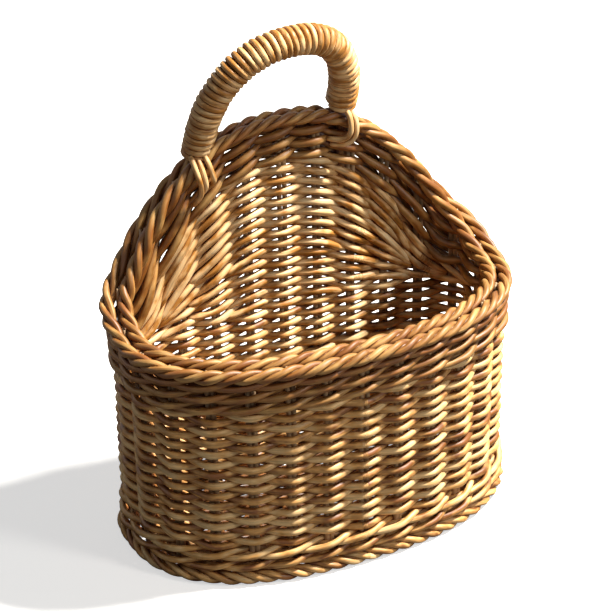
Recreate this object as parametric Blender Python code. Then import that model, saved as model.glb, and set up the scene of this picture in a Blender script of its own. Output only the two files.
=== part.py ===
"""Woven wall basket: a D-shaped basket of round cane with a high back and a wrapped carrying bow.

Metres, +Z up. The open side's low front faces -Y and the flat back faces +Y. The origin is at the
middle of the box that holds the basket, on the surface that the foot stands on.
"""
import bisect
import math

import bmesh
import bpy
from mathutils import Vector

OBJECT_NAME = "wall_basket"
CUTTERS_NAME = "wall_basket_cutters"

# Plan of the wall's middle surface: two half superellipses that meet at the widest place.
WALL_HALF_WIDTH = 0.0922
WALL_FRONT_DEPTH = 0.0577
WALL_BACK_DEPTH = 0.0302
FRONT_ROUNDNESS = 2.4
BACK_ROUNDNESS = 3.9
PLAN_SAMPLES = 7200

# Heights of the rim's top: level along the front, then rising round the corners to the back.
FRONT_HEIGHT = 0.1185
BACK_HEIGHT = 0.1966
RISE_WAY_SHARES = (0.0, 0.45, 0.54, 0.62, 0.71, 0.80, 0.90, 1.0)
RISE_SHARES = (0.0, 0.0, 0.045, 0.209, 0.558, 0.818, 0.964, 1.0)

# Cane, stakes and the clearance between pieces.
STAKE_COUNT = 26
STAKE_CANE_DIAMETER = 0.0026
STAKE_FOOT_HEIGHT = 0.0015
STAKE_TOP_COVER = 0.003
WEAVER_DIAMETER = 0.0028
CLEARANCE = 0.0003
STATIONS_PER_STAKE = 2
CANE_SIDES = 8

# How far each band reaches in and out from the wall's middle surface.
WEAVE_REACH = 0.0041
FOOT_REACH = 0.007
FOOT_WALE_REACH = 0.0064
RIM_WALE_REACH = 0.007
BORDER_OUT_REACH = 0.0078
BORDER_IN_REACH = 0.0075

# How much of the bands' canes is pressed flat at the back, so that it lies against a wall.
BACK_FLATTENING = 0.0006

# Heights of the bands, from the foot up.
FOOT_BORDER_HEIGHT = 0.007
FOOT_WALE_ROWS = 2
FOOT_WALE_ROW_HEIGHT = 0.0058
RIM_WALE_ROWS = 3
RIM_WALE_ROW_HEIGHT = 0.006
RIM_GAP = 0.0010
BACK_WEAVE_GAP = 0.0012
BORDER_HEIGHT = 0.006
EDGE_ROUNDING = 0.0018
BUMP_DEPTH = 0.0012
BACK_WEAVE_LEAST_HEIGHT = 0.0012
LEVEL_WEAVE_ROWS = 26

# The weave is thick at a stake and thin between stakes. At a stake every second row lies outside.
# Beside a leg of the bow the weave keeps a wall of its own.
WAIST_REACH = 0.0018
GROOVE_REACH = 0.0024
LEG_WALL = 0.0006

# Floor.
FLOOR_THICKNESS = 0.005
FLOOR_GROOVE_DEPTH = 0.0016
FLOOR_STICK_SPACING = 0.018

# Bow handle, its wrapping and its lashings. Each leg stands beside the stake pair of this number.
HANDLE_RIGHT_STAKE = 11
HANDLE_LEFT_STAKE = 15
HANDLE_RISE = 0.0427
HANDLE_LEAN = 0.010
HANDLE_SKEW = 0.0055
HANDLE_ROUNDNESS = 2.3
HANDLE_CORE_DIAMETER = 0.0085
HANDLE_LEG_DIAMETER = 0.004
HANDLE_LEG_DEPTH = 0.045
HANDLE_SHOULDER = 0.002
HANDLE_POINTS = 33
WINDING_LOOPS = 24
WINDING_POINTS_PER_LOOP = 11
LASHING_REACH = 0.0055
LASHING_LIFT = 0.0009
LASHING_GAP = 0.0007
LASHING_SOFTENINGS = 2
LASHING_SOFTNESS_SHARE = 0.22

# Colours of the canes, as linear values.
CANE_COLOUR = (0.36, 0.17, 0.06, 1.0)
STAKE_COLOUR = (0.24, 0.10, 0.03, 1.0)
HANDLE_COLOUR = (0.45, 0.25, 0.10, 1.0)
CANE_ROUGHNESS = 0.45
SMOOTH_ANGLE = math.radians(50)

# Sizes worked out from the ones above.
BACK_REACH = min(RIM_WALE_REACH, BORDER_OUT_REACH, FOOT_REACH) - BACK_FLATTENING
FRONT_REACH = max(RIM_WALE_REACH, BORDER_OUT_REACH, FOOT_REACH)
PLAN_SHIFT = (WALL_FRONT_DEPTH + FRONT_REACH - WALL_BACK_DEPTH - BACK_REACH) / 2
BACK_PLANE = WALL_BACK_DEPTH + BACK_REACH + PLAN_SHIFT
STATION_COUNT = STAKE_COUNT * STATIONS_PER_STAKE
STAKE_SPACING_SHARE = 1 / STAKE_COUNT
FOOT_WALE_TOP = FOOT_BORDER_HEIGHT + FOOT_WALE_ROWS * FOOT_WALE_ROW_HEIGHT
RIM_WALE_HEIGHT = RIM_WALE_ROWS * RIM_WALE_ROW_HEIGHT
RIM_BAND_HEIGHT = BORDER_HEIGHT + RIM_GAP + RIM_WALE_HEIGHT
LEVEL_WEAVE_TOP = FRONT_HEIGHT - RIM_BAND_HEIGHT - CLEARANCE
HANDLE_CORE_RADIUS = HANDLE_CORE_DIAMETER / 2
HANDLE_LEG_RADIUS = HANDLE_LEG_DIAMETER / 2
WEAVER_RADIUS = WEAVER_DIAMETER / 2
WINDING_RADIUS = HANDLE_CORE_RADIUS + CLEARANCE + WEAVER_RADIUS
HANDLE_OUTER_RADIUS = WINDING_RADIUS + WEAVER_RADIUS
LEG_OFFSET = STAKE_CANE_DIAMETER + CLEARANCE + HANDLE_LEG_RADIUS
BACK_WAIST_REACH = HANDLE_LEG_RADIUS + CLEARANCE + LEG_WALL


def clear_scene():
    """Remove the objects of the start-up scene."""
    for thing in list(bpy.data.objects):
        bpy.data.objects.remove(thing, do_unlink=True)


def new_collection(name):
    collection = bpy.data.collections.new(name)
    bpy.context.scene.collection.children.link(collection)
    return collection


def plan_sample(index):
    """One point of the wall's plan; index 0 is the middle of the front, and +X comes next."""
    angle = math.tau * index / PLAN_SAMPLES - math.pi / 2
    across = math.cos(angle)
    along = math.sin(angle)
    roundness = FRONT_ROUNDNESS if along < 0 else BACK_ROUNDNESS
    depth = WALL_FRONT_DEPTH if along < 0 else WALL_BACK_DEPTH
    x = math.copysign(abs(across) ** (2 / roundness), across) * WALL_HALF_WIDTH
    y = math.copysign(abs(along) ** (2 / roundness), along) * depth
    return Vector((x, y + PLAN_SHIFT, 0))


def measure_plan():
    """Return the plan's points and the length of the plan up to each of them."""
    points = [plan_sample(index) for index in range(PLAN_SAMPLES + 1)]
    lengths = [0.0]
    for before, after in zip(points, points[1:]):
        lengths.append(lengths[-1] + (after - before).length)
    return points, lengths


PLAN_POINTS, PLAN_LENGTHS = measure_plan()
PERIMETER = PLAN_LENGTHS[-1]


def plan_point(share):
    """The point of the plan at a share of the way round."""
    length = (share % 1.0) * PERIMETER
    index = min(bisect.bisect_right(PLAN_LENGTHS, length), PLAN_SAMPLES)
    start = PLAN_LENGTHS[index - 1]
    part = (length - start) / max(PLAN_LENGTHS[index] - start, 1e-12)
    return PLAN_POINTS[index - 1].lerp(PLAN_POINTS[index], part)


def plan_tangent(share):
    """The direction along the wall, seen from above."""
    step = 1 / STATION_COUNT / STATIONS_PER_STAKE
    return (plan_point(share + step) - plan_point(share - step)).normalized()


def plan_normal(share):
    """The direction straight out of the wall."""
    tangent = plan_tangent(share)
    return Vector((tangent.y, -tangent.x, 0))


def wall_point(share, reach, height):
    """A point beside the middle surface; nothing reaches behind the plane of the back."""
    point = plan_point(share) + plan_normal(share) * reach
    return Vector((point.x, min(point.y, BACK_PLANE), height))


def rise_slope(index):
    """The slope of the rise at one of its points, flat at both ends."""
    if index in (0, 1, len(RISE_SHARES) - 1):
        return 0.0
    climb = RISE_SHARES[index + 1] - RISE_SHARES[index - 1]
    return climb / (RISE_WAY_SHARES[index + 1] - RISE_WAY_SHARES[index - 1])


def rim_height(share):
    """The height of the rim's top at a share of the way round."""
    way = 1 - abs(2 * (share % 1.0) - 1)
    index = 1
    while index < len(RISE_SHARES) - 1 and RISE_WAY_SHARES[index] < way:
        index += 1
    span = RISE_WAY_SHARES[index] - RISE_WAY_SHARES[index - 1]
    part = min((way - RISE_WAY_SHARES[index - 1]) / span, 1)
    rise = RISE_SHARES[index - 1] * (1 + 2 * part) * (1 - part) ** 2
    rise += RISE_SHARES[index] * (3 - 2 * part) * part ** 2
    rise += rise_slope(index - 1) * span * part * (1 - part) ** 2
    rise -= rise_slope(index) * span * part ** 2 * (1 - part)
    return FRONT_HEIGHT + (BACK_HEIGHT - FRONT_HEIGHT) * rise


def steepness(share):
    """How much longer a band is upright than square across, where the rim slopes."""
    step = 1 / STATION_COUNT / STATIONS_PER_STAKE
    slope = (rim_height(share + step) - rim_height(share - step)) / (2 * step * PERIMETER)
    return math.hypot(1, slope)


def cane_material(name, colour):
    """Satin round cane."""
    material = bpy.data.materials.new(name)
    material.use_nodes = True
    shader = material.node_tree.nodes["Principled BSDF"]
    shader.inputs["Base Color"].default_value = colour
    shader.inputs["Roughness"].default_value = CANE_ROUGHNESS
    shader.inputs["Metallic"].default_value = 0.0
    material.diffuse_color = colour
    return material


def add_mesh(name, mesh, collection, colour):
    """Put a mesh in the scene under the piece's name with a material of its own."""
    shade_round(mesh)
    thing = bpy.data.objects.new(name, mesh)
    mesh.materials.append(cane_material(name + "_cane", colour))
    collection.objects.link(thing)
    return thing


def shade_round(mesh):
    """Shade a round piece smooth, and keep its ends crisp."""
    mesh.shade_smooth()
    mesh.set_sharp_from_angle(angle=SMOOTH_ANGLE)


def rounded_section(inner, outer, height):
    """Outline of a band with rounded edges, as (reach, height) points, starting low inside."""
    edge = EDGE_ROUNDING
    return [
        (inner, edge),
        (inner + edge, 0),
        (outer - edge, 0),
        (outer, edge),
        (outer, height - edge),
        (outer - edge, height),
        (inner + edge, height),
        (inner, height - edge),
    ]


def plain_section(inner, outer, height):
    """Outline of a flat woven band."""
    return [(inner, 0), (outer, 0), (outer, height), (inner, height)]


def waled_section(inner, outer, height, rows):
    """Outline of a band of wale rows: one bump on the outer side for each row."""
    outline = [(inner, 0), (WEAVE_REACH, 0)]
    row_height = height / rows
    for row in range(rows):
        base = row * row_height
        outline.append((outer - BUMP_DEPTH, base))
        outline.append((outer, base + BUMP_DEPTH))
        outline.append((outer, base + row_height - BUMP_DEPTH))
    outline.append((outer - BUMP_DEPTH, height))
    outline.append((inner, height))
    return outline


def sweep(name, section_at, shares, closed, collection, colour):
    """Extrude a section round the plan; section_at gives its (reach, height) points at a share."""
    shell = bmesh.new()
    first = [shell.verts.new(wall_point(shares[0], *point)) for point in section_at(shares[0])]
    loop = [shell.edges.new((first[i - 1], first[i])) for i in range(len(first))]
    if not closed:
        shell.faces.new(first)
    verts = first
    for share in shares[1:]:
        result = bmesh.ops.extrude_edge_only(shell, edges=loop)["geom"]
        loop = [item for item in result if isinstance(item, bmesh.types.BMEdge)]
        moved = [item for item in result if isinstance(item, bmesh.types.BMVert)]
        targets = section_at(share)
        order = follow_order(verts, moved)
        for vert, point in zip(order, targets):
            vert.co = wall_point(share, *point)
        verts = order
    if closed:
        bmesh.ops.remove_doubles(shell, verts=shell.verts, dist=CLEARANCE / 100)
    else:
        shell.faces.new(verts)
    bmesh.ops.recalc_face_normals(shell, faces=shell.faces)
    mesh = bpy.data.meshes.new(name)
    shell.to_mesh(mesh)
    shell.free()
    return add_mesh(name, mesh, collection, colour)


def follow_order(before, after):
    """Sort extruded corners into the order of the corners that they were extruded from."""
    places = {vert.co.to_tuple(9): vert for vert in after}
    return [places[vert.co.to_tuple(9)] for vert in before]


def ring_shares():
    """Stations all the way round, with the first one repeated at the end."""
    return [station / STATION_COUNT for station in range(STATION_COUNT + 1)]


def cane_pair_outline(radius, sides):
    """Outline of two round canes pressed side by side, as (along, out) points."""
    outline = []
    for side in (1, -1):
        turn = 0 if side > 0 else math.pi
        for step in range(1 - sides // 2, sides // 2):
            angle = turn + math.tau * step / sides
            outline.append((side * radius + radius * math.cos(angle), radius * math.sin(angle)))
    return outline


def box_outline(half_along, half_out):
    corners = [(-1, -1), (1, -1), (1, 1), (-1, 1)]
    return [(half_along * along, half_out * out) for along, out in corners]


def upright_prism(shell, share, outline, low, high):
    """Add an upright prism that stands on the wall's middle surface."""
    centre = plan_point(share)
    tangent = plan_tangent(share)
    normal = plan_normal(share)
    corners = [shell.verts.new(centre + tangent * along + normal * out) for along, out in outline]
    for corner in corners:
        corner.co.z = low
    face = shell.faces.new(corners)
    extruded = bmesh.ops.extrude_face_region(shell, geom=[face])["geom"]
    top = [item for item in extruded if isinstance(item, bmesh.types.BMVert)]
    bmesh.ops.translate(shell, verts=top, vec=(0, 0, high - low))


def finish_shell(shell, name):
    bmesh.ops.recalc_face_normals(shell, faces=shell.faces)
    mesh = bpy.data.meshes.new(name)
    shell.to_mesh(mesh)
    shell.free()
    return mesh


def stake_share(index):
    return index * STAKE_SPACING_SHARE


def stake_top(index):
    return rim_height(stake_share(index)) - STAKE_TOP_COVER


def add_stake(index, collection):
    """One upright: a pair of canes that runs from the foot to inside the border."""
    shell = bmesh.new()
    outline = cane_pair_outline(STAKE_CANE_DIAMETER / 2, CANE_SIDES)
    upright_prism(shell, stake_share(index), outline, STAKE_FOOT_HEIGHT, stake_top(index))
    name = "stake_pair_%02d" % (index + 1)
    return add_mesh(name, finish_shell(shell, name), collection, STAKE_COLOUR)


def as_cutter(thing):
    thing.hide_render = True
    thing.display_type = "WIRE"
    return thing


def add_stake_channels(collection):
    """Cutter for the channels that the stake pairs run in."""
    shell = bmesh.new()
    half_along = STAKE_CANE_DIAMETER + CLEARANCE
    half_out = STAKE_CANE_DIAMETER / 2 + CLEARANCE
    outline = box_outline(half_along, half_out)
    for index in range(STAKE_COUNT):
        upright_prism(shell, stake_share(index), outline, -CLEARANCE, stake_top(index) + CLEARANCE)
    thing = bpy.data.objects.new("stake_channels", finish_shell(shell, "stake_channels"))
    collection.objects.link(thing)
    return as_cutter(thing)


def cut(thing, cutter):
    """Cut a piece and keep the result as its own mesh."""
    modifier = thing.modifiers.new("cut_" + cutter.name, "BOOLEAN")
    modifier.operation = "DIFFERENCE"
    modifier.solver = "EXACT"
    modifier.object = cutter


def border_bottom(share):
    return rim_height(share) - BORDER_HEIGHT * steepness(share)


def rim_wale_top(share):
    return border_bottom(share) - RIM_GAP * steepness(share)


def rim_wale_bottom(share):
    """The lower edge of the rim's wale, which never dips into the level weave."""
    steep = rim_height(share) - RIM_BAND_HEIGHT * steepness(share)
    return max(steep, LEVEL_WEAVE_TOP + CLEARANCE)


def raised(section, level):
    return [(reach, height + level) for reach, height in section]


def at_stake(share):
    """True for a station at a stake pair, and false for one between two pairs."""
    return round(share * STATION_COUNT) % STATIONS_PER_STAKE == 0


def foot_border_section(_share):
    return rounded_section(-WEAVE_REACH, FOOT_REACH, FOOT_BORDER_HEIGHT)


def foot_wale_section(_share):
    height = FOOT_WALE_TOP - FOOT_BORDER_HEIGHT - CLEARANCE
    section = waled_section(-WEAVE_REACH, FOOT_WALE_REACH, height, FOOT_WALE_ROWS)
    return raised(section, FOOT_BORDER_HEIGHT + CLEARANCE)


def level_weave_section(share):
    """Outline of the level weave: at a stake, every second row is a ridge outside."""
    bottom = FOOT_WALE_TOP + CLEARANCE
    row_height = (LEVEL_WEAVE_TOP - bottom) / LEVEL_WEAVE_ROWS
    inner = WEAVE_REACH if at_stake(share) else WAIST_REACH
    outline = [(-inner, 0)]
    stake = round(share * STAKE_COUNT)
    for level in range(LEVEL_WEAVE_ROWS + 1):
        ridge = WEAVE_REACH if (level + stake) % 2 == 0 else GROOVE_REACH
        outline.append((ridge if at_stake(share) else WAIST_REACH, level * row_height))
    outline.append((-inner, LEVEL_WEAVE_TOP - bottom))
    return raised(outline, bottom)


def back_weave_height(share):
    return rim_wale_bottom(share) - LEVEL_WEAVE_TOP - CLEARANCE - BACK_WEAVE_GAP


def back_weave_section(share):
    reach = WEAVE_REACH if at_stake(share) else BACK_WAIST_REACH
    section = plain_section(-reach, reach, back_weave_height(share))
    return raised(section, LEVEL_WEAVE_TOP + CLEARANCE)


def rim_wale_section(share):
    height = rim_wale_top(share) - rim_wale_bottom(share)
    section = waled_section(-WEAVE_REACH, RIM_WALE_REACH, height, RIM_WALE_ROWS)
    return raised(section, rim_wale_bottom(share))


def border_inner_section(share):
    height = BORDER_HEIGHT * steepness(share)
    section = rounded_section(-BORDER_IN_REACH, -CLEARANCE / 2, height)
    return raised(section, border_bottom(share))


def border_outer_section(share):
    height = BORDER_HEIGHT * steepness(share)
    section = rounded_section(CLEARANCE / 2, BORDER_OUT_REACH, height)
    return raised(section, border_bottom(share))


def back_weave_shares():
    """Stations of the high back, as far as it is tall enough to be woven."""
    shares = [station / STATION_COUNT for station in range(STATION_COUNT)]
    return [share for share in shares if back_weave_height(share) > BACK_WEAVE_LEAST_HEIGHT]


def floor_top(x):
    """The height of the floor: a ridge over each stick, and a groove between two sticks."""
    away = abs(x / FLOOR_STICK_SPACING - round(x / FLOOR_STICK_SPACING)) * 2
    return FLOOR_THICKNESS - FLOOR_GROOVE_DEPTH * away


def add_floor(collection):
    """The woven floor, a ribbed plate that fits inside the foot border."""
    shell = bmesh.new()
    reach = -WEAVE_REACH - CLEARANCE
    corners = [shell.verts.new(wall_point(share, reach, 0)) for share in ring_shares()[:-1]]
    face = shell.faces.new(corners)
    extruded = bmesh.ops.extrude_face_region(shell, geom=[face])["geom"]
    top = [item for item in extruded if isinstance(item, bmesh.types.BMVert)]
    bmesh.ops.translate(shell, verts=top, vec=(0, 0, FLOOR_THICKNESS))
    last = int(WALL_HALF_WIDTH / FLOOR_STICK_SPACING * 2)
    for line in range(-last, last + 1):
        place = (line * FLOOR_STICK_SPACING / 2, 0, 0)
        geometry = shell.verts[:] + shell.edges[:] + shell.faces[:]
        bmesh.ops.bisect_plane(shell, geom=geometry, plane_co=place, plane_no=(1, 0, 0))
    for vert in shell.verts:
        if vert.co.z > FLOOR_THICKNESS / 2:
            vert.co.z = floor_top(vert.co.x)
    return add_mesh("woven_floor", finish_shell(shell, "woven_floor"), collection, CANE_COLOUR)


def leg_share(stake):
    """Where a leg stands: just past its stake pair."""
    return stake * STAKE_SPACING_SHARE + LEG_OFFSET / PERIMETER


LEFT_LEG_SHARE = leg_share(HANDLE_LEFT_STAKE)
RIGHT_LEG_SHARE = leg_share(HANDLE_RIGHT_STAKE)


def bow_foot(share, uphill):
    """The lowest point of the bow's middle line above a leg, clear of the sloping rim."""
    point = plan_point(share)
    point.z = rim_height(share + uphill * HANDLE_OUTER_RADIUS / PERIMETER) + CLEARANCE
    return point


LEFT_FOOT = bow_foot(LEFT_LEG_SHARE, -1)
RIGHT_FOOT = bow_foot(RIGHT_LEG_SHARE, 1)
BOW_CROWN = Vector((HANDLE_SKEW, -HANDLE_LEAN, HANDLE_RISE))
BOW_NORMAL = BOW_CROWN.cross(RIGHT_FOOT - LEFT_FOOT).normalized()


def bow_point(share):
    """A point of the bow's middle line, from the left foot over the crown to the right foot."""
    angle = math.pi * (1 - share)
    across = math.cos(angle)
    up = max(math.sin(angle), 0) ** (2 / HANDLE_ROUNDNESS)
    way = math.copysign(abs(across) ** (2 / HANDLE_ROUNDNESS), across)
    base = LEFT_FOOT.lerp(RIGHT_FOOT, (1 + way) / 2)
    return base + BOW_CROWN * up


def spaced_bow_points(count):
    """Points of the bow at equal distances."""
    fine = [bow_point(step / PLAN_SAMPLES) for step in range(PLAN_SAMPLES + 1)]
    lengths = [0.0]
    for before, after in zip(fine, fine[1:]):
        lengths.append(lengths[-1] + (after - before).length)
    points = []
    for step in range(count):
        length = lengths[-1] * step / (count - 1)
        index = min(bisect.bisect_right(lengths, length), PLAN_SAMPLES)
        points.append(fine[index])
    points[0] = fine[0]
    points[-1] = fine[-1]
    return points


def add_tube(name, points, radii, thickness, resolution, collection, colour):
    """A round cane along points: a poly curve with filled caps."""
    curve = bpy.data.curves.new(name, "CURVE")
    curve.dimensions = "3D"
    curve.bevel_depth = thickness
    curve.bevel_resolution = resolution
    curve.use_fill_caps = True
    spline = curve.splines.new("POLY")
    spline.points.add(len(points) - 1)
    for item, point, radius in zip(spline.points, points, radii):
        item.co = (point.x, point.y, point.z, 1)
        item.radius = radius
    curve.materials.append(cane_material(name + "_cane", colour))
    thing = bpy.data.objects.new(name, curve)
    collection.objects.link(thing)
    return thing


def add_handle_core(collection):
    """The bow: a thick cane whose thinned legs are pushed down into the back."""
    arch = spaced_bow_points(HANDLE_POINTS)
    depth = Vector((0, 0, HANDLE_LEG_DEPTH))
    neck = Vector((0, 0, CLEARANCE))
    shoulder = Vector((0, 0, HANDLE_SHOULDER))
    points = [arch[0] - depth, arch[0] - neck, arch[0] + shoulder]
    points += arch[2:-2]
    points += [arch[-1] + shoulder, arch[-1] - neck, arch[-1] - depth]
    slim = HANDLE_LEG_RADIUS / HANDLE_CORE_RADIUS
    radii = [slim, slim] + [1.0] * (len(points) - 4) + [slim, slim]
    return add_tube("handle_core", points, radii, HANDLE_CORE_RADIUS, 2, collection, HANDLE_COLOUR)


def add_leg_channels(collection):
    """Cutter for the two holes that the bow's thinned legs stand in, each open to its stake pair."""
    shell = bmesh.new()
    half_out = HANDLE_LEG_RADIUS + CLEARANCE
    for share, foot in ((RIGHT_LEG_SHARE, RIGHT_FOOT), (LEFT_LEG_SHARE, LEFT_FOOT)):
        outline = [(-LEG_OFFSET, -half_out), (half_out, -half_out)]
        outline += [(half_out, half_out), (-LEG_OFFSET, half_out)]
        low = foot.z - HANDLE_LEG_DEPTH - CLEARANCE
        upright_prism(shell, share, outline, low, foot.z + CLEARANCE)
    thing = bpy.data.objects.new("leg_channels", finish_shell(shell, "leg_channels"))
    collection.objects.link(thing)
    return as_cutter(thing)


def winding_points():
    """Points of the wrapping: an open helix round the bow, straight for one diameter at each end."""
    count = WINDING_LOOPS * WINDING_POINTS_PER_LOOP + 1
    line = spaced_bow_points(count + 2 * WINDING_POINTS_PER_LOOP)
    start = WINDING_POINTS_PER_LOOP
    points = []
    for step in range(count):
        centre = line[start + step]
        tangent = (line[start + step + 1] - line[start + step - 1]).normalized()
        outward = BOW_NORMAL.cross(tangent).normalized()
        angle = math.tau * step / WINDING_POINTS_PER_LOOP
        around = outward * math.cos(angle) + BOW_NORMAL * math.sin(angle)
        points.append(centre + around * WINDING_RADIUS)
    first = (points[0] - points[1]).normalized()
    last = (points[-1] - points[-2]).normalized()
    points.insert(0, points[0] + first * WEAVER_DIAMETER)
    points.append(points[-1] + last * WEAVER_DIAMETER)
    return points


def self_gap(points, diameter, skip):
    """The least gap between stretches of a tube that are further than skip points apart."""
    least = None
    for index, point in enumerate(points):
        for other in points[index + skip:]:
            distance = (other - point).length - diameter
            if least is None or distance < least:
                least = distance
    return least


def add_winding(collection):
    points = winding_points()
    gap = self_gap(points, WEAVER_DIAMETER, WINDING_POINTS_PER_LOOP // 2)
    print("handle_winding: least gap to itself %.2f mm" % (gap * 1000))
    radii = [1.0] * len(points)
    return add_tube("handle_winding", points, radii, WEAVER_RADIUS, 1, collection, HANDLE_COLOUR)


def softened(points):
    """Cut the corners of a route once."""
    soft = [points[0]]
    for start, end in zip(points, points[1:]):
        soft.append(start.lerp(end, LASHING_SOFTNESS_SHARE))
        soft.append(end.lerp(start, LASHING_SOFTNESS_SHARE))
    soft.append(points[-1])
    return soft


def lashing_points(foot_share):
    """Points of a lashing: over the border on one side of the bow's foot, down inside, and back up."""
    lift = WEAVER_RADIUS + LASHING_LIFT
    drift = abs(HANDLE_SKEW) * (lift + WEAVER_RADIUS) / HANDLE_RISE
    away = HANDLE_OUTER_RADIUS + drift + LASHING_GAP + WEAVER_RADIUS
    inner = -BORDER_IN_REACH - lift
    half = [(away, LASHING_REACH, lift), (away, inner, lift), (away, inner, -BORDER_HEIGHT / 2)]
    half.append((away / 2, inner, -BORDER_HEIGHT - RIM_GAP))
    route = half + [(-along, reach, height) for along, reach, height in reversed(half)]
    points = []
    for along, reach, height in route:
        share = foot_share + along / PERIMETER
        points.append(wall_point(share, reach, rim_height(share) + height * steepness(share)))
    for _ in range(LASHING_SOFTENINGS):
        points = softened(points)
    return points


def add_lashing(name, foot_share, collection):
    points = lashing_points(foot_share)
    gap = self_gap(points, WEAVER_DIAMETER, len(points) // 3)
    print("%s: least gap to itself %.2f mm" % (name, gap * 1000))
    return add_tube(name, points, [1.0] * len(points), WEAVER_RADIUS, 1, collection, HANDLE_COLOUR)


def main():
    clear_scene()
    parts = new_collection(OBJECT_NAME)
    cutters = new_collection(CUTTERS_NAME)
    stake_channels = add_stake_channels(cutters)
    leg_channels = add_leg_channels(cutters)
    add_floor(parts)
    ring = ring_shares()
    foot_border = sweep("foot_border", foot_border_section, ring, True, parts, CANE_COLOUR)
    foot_wale = sweep("foot_wale", foot_wale_section, ring, True, parts, CANE_COLOUR)
    level_weave = sweep("wall_weave_level", level_weave_section, ring, True, parts, CANE_COLOUR)
    back_weave = sweep("wall_weave_back", back_weave_section, back_weave_shares(), False, parts, CANE_COLOUR)
    rim_wale = sweep("rim_wale", rim_wale_section, ring, True, parts, CANE_COLOUR)
    border_inner = sweep("rim_border_inner", border_inner_section, ring, True, parts, CANE_COLOUR)
    border_outer = sweep("rim_border_outer", border_outer_section, ring, True, parts, CANE_COLOUR)
    for piece in (foot_border, foot_wale, level_weave, back_weave, rim_wale, border_inner, border_outer):
        cut(piece, stake_channels)
    for piece in (back_weave, rim_wale, border_inner, border_outer):
        cut(piece, leg_channels)
    for index in range(STAKE_COUNT):
        add_stake(index, parts)
    add_handle_core(parts)
    add_winding(parts)
    add_lashing("handle_lashing_right", RIGHT_LEG_SHARE, parts)
    add_lashing("handle_lashing_left", LEFT_LEG_SHARE, parts)


main()
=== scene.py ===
"""Looks of the woven wall basket: every cane of the weave, the wrapped bow, and a plain pale studio."""
import math

import bmesh
import bpy
import numpy as np
from bpy.props import FloatProperty, FloatVectorProperty, IntProperty, PointerProperty
from mathutils import Matrix, Vector


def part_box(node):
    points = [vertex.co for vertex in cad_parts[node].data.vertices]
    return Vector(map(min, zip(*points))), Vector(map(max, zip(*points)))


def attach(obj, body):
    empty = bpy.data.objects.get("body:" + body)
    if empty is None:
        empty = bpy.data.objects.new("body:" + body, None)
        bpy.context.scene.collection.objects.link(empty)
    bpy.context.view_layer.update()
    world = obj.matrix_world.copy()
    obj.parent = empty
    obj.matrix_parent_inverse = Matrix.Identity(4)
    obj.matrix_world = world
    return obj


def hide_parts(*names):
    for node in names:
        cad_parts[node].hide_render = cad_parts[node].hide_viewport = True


bl_info = {
    "name": "Wall basket",
    "version": (1, 0, 0),
    "blender": (4, 5, 0),
    "location": "View3D > Sidebar > Basket",
    "description": "Weaves a D-shaped wall basket of round cane with a wrapped bow handle",
    "category": "Add Mesh",
}

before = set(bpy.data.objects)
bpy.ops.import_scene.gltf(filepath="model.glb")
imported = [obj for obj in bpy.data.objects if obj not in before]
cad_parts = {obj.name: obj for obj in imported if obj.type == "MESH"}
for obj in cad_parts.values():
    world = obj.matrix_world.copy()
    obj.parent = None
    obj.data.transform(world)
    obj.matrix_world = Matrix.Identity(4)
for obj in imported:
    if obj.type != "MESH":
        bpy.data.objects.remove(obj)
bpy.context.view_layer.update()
BODY = "root"
PLAN_SAMPLES = 7200
STEPS_PER_STAKE = 8
SRGB_KNEE = 0.04045
# The plane of the flat back, and the top of the bow's core, as the solids have them.
BACK_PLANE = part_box("rim_border_outer")[1].y
CORE_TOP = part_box("handle_core")[1].z


def srgb(code):
    """Linear colour of an sRGB hex value, with full alpha."""
    channels = [int(code[at:at + 2], 16) / 255 for at in (1, 3, 5)]
    linear = [c / 12.92 if c <= SRGB_KNEE else ((c + 0.055) / 1.055) ** 2.4 for c in channels]
    return (*linear, 1.0)


def length(name, default, description):
    """A size in metres that a user may change."""
    return FloatProperty(name=name, description=description, default=default, subtype="DISTANCE",
                         unit="LENGTH")


def number(name, default, description):
    """A plain number that a user may change."""
    return FloatProperty(name=name, description=description, default=default)


def count_of(name, default, description):
    """A whole number that a user may change."""
    return IntProperty(name=name, description=description, default=default)


def colour(name, code, description):
    """A colour that a user may change."""
    return FloatVectorProperty(name=name, description=description, default=srgb(code), size=4, min=0, max=1,
                               subtype="COLOR")


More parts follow.
